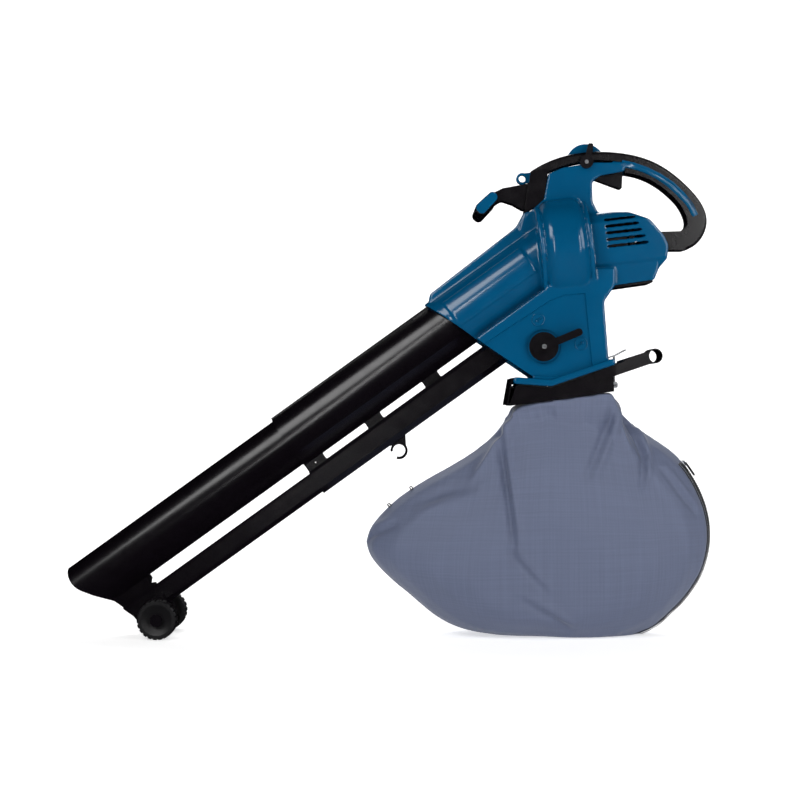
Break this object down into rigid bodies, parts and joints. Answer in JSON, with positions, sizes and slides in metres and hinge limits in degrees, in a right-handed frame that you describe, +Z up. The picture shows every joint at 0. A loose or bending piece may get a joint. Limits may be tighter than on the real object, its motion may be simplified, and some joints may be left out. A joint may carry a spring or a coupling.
{
  "type": "leaf blower",
  "caption": "Hand-held cordless garden blower and vacuum with a telescopic twin nozzle on small wheels, rear loop handle, front grip, mode lever and a hanging cloth collecting bag.",
  "frame": {"origin": "on the floor below the middle of the machine's box, halfway along its length and across its width", "axes": "+X from the nozzle mouth to the rear handle, +Y across to the operator's right, +Z up"},
  "size_m": [0.9851, 0.176, 0.7434],
  "materials": {
    "teal_plastic": "gloss",
    "black_plastic": "satin",
    "black_rubber": "matte",
    "bag_cloth": "matte",
    "dark_webbing": "matte",
    "bright_steel": "satin",
    "motor_iron": "satin",
    "circuit_green": "satin",
    "white_plastic": "satin"
  },
  "bodies": {
    "machine": {"bag_hook": "black_plastic", "battery_rails": "black_plastic", "bearing_front": "bright_steel", "bearing_rear": "bright_steel", "controller": "circuit_green", "fan_case_front": "black_plastic", "fan_case_rear": "black_plastic", "front_grip_arm": "black_plastic", "front_grip_bar": "black_rubber", "front_grip_cap_left": "teal_plastic", "front_grip_cap_right": "teal_plastic", "grip_tail": "black_rubber", "grip_top": "black_rubber", "grip_under": "black_rubber", "housing_left": "teal_plastic", "housing_right": "teal_plastic", "housing_screws": "bright_steel", "intake_duct": "black_plastic", "motor_mount_front": "black_plastic", "motor_mount_rear": "black_plastic", "motor_sleeve": "black_plastic", "motor_stator": "motor_iron", "nose_cover": "black_plastic", "strap_ring": "teal_plastic", "terminal_block": "black_plastic", "trigger_pin": "bright_steel", "trigger_switch": "black_plastic", "upper_nozzle": "black_plastic"},
    "lower_nozzle": {"lower_nozzle": "black_plastic", "wheel_bracket": "black_plastic", "wheel_axle": "bright_steel", "axle_cap_left": "black_plastic", "axle_cap_right": "black_plastic"},
    "wheel_left": {"wheel_left": "black_plastic"},
    "wheel_right": {"wheel_right": "black_plastic"},
    "lock_button": {"lock_button": "black_plastic"},
    "fan": {"impeller": "white_plastic", "impeller_nut": "bright_steel", "motor_shaft": "bright_steel", "motor_rotor": "motor_iron"},
    "trigger": {"trigger": "black_plastic"},
    "speed_lever": {"speed_dial": "teal_plastic", "speed_arm": "black_plastic", "speed_shaft": "bright_steel"},
    "change_lever": {"change_lever": "black_plastic", "flap_shaft": "bright_steel", "flap": "black_plastic", "lever_screw": "bright_steel"},
    "bag_unit": {"bag_adaptor": "black_plastic", "port_seal": "black_rubber", "bag_collar": "black_plastic", "front_hook": "black_plastic", "bag_handle": "black_plastic", "latch_bracket": "bright_steel", "latch_pin": "bright_steel", "bag": "bag_cloth", "bag_zip": "dark_webbing", "zip_slider": "bright_steel", "bag_loops": "dark_webbing"},
    "bag_latch": {"bag_latch": "bright_steel"}
  },
  "joints": [
    {"name": "nozzle_slide", "type": "slide", "parent": "machine", "child": "lower_nozzle", "axis": [0.8121, 0, 0.5835], "range_m": [0, 0.21]},
    {"name": "wheel_left_spin", "type": "hinge", "parent": "lower_nozzle", "child": "wheel_left", "pos_m": [-0.35151, -0.055, 0.0295], "axis": [0, 1, 0], "continuous": true},
    {"name": "wheel_right_spin", "type": "hinge", "parent": "lower_nozzle", "child": "wheel_right", "pos_m": [-0.35151, 0.055, 0.0295], "axis": [0, 1, 0], "continuous": true},
    {"name": "lock_press", "type": "slide", "parent": "machine", "child": "lock_button", "axis": [0, -1, 0], "range_m": [0, 0.0025], "stiffness_N_per_m": 400, "springref_m": -0.002},
    {"name": "fan_spin", "type": "hinge", "parent": "machine", "child": "fan", "pos_m": [0.256, 0, 0.584], "axis": [0.9936, 0, 0.1132], "continuous": true},
    {"name": "trigger_pull", "type": "hinge", "parent": "machine", "child": "trigger", "pos_m": [0.309, 0, 0.706], "axis": [0, -1, 0], "range_deg": [0, 8], "stiffness_Nm_per_rad": 1, "springref_deg": -8.59},
    {"name": "speed_lever_turn", "type": "hinge", "parent": "machine", "child": "speed_lever", "pos_m": [0.29, 0, 0.7144], "axis": [0, -1, 0], "range_deg": [0, 38]},
    {"name": "change_lever_turn", "type": "hinge", "parent": "machine", "child": "change_lever", "pos_m": [0.223, 0, 0.435], "axis": [0, -1, 0], "range_deg": [0, 70]},
    {"name": "bag_lift_off", "type": "slide", "parent": "machine", "child": "bag_unit", "axis": [0, 0, -1], "range_m": [0, 0.1]},
    {"name": "bag_latch_swing", "type": "hinge", "parent": "bag_unit", "child": "bag_latch", "pos_m": [0.3345, 0, 0.379], "axis": [0, 1, 0], "range_deg": [0, 60]}
  ]
}
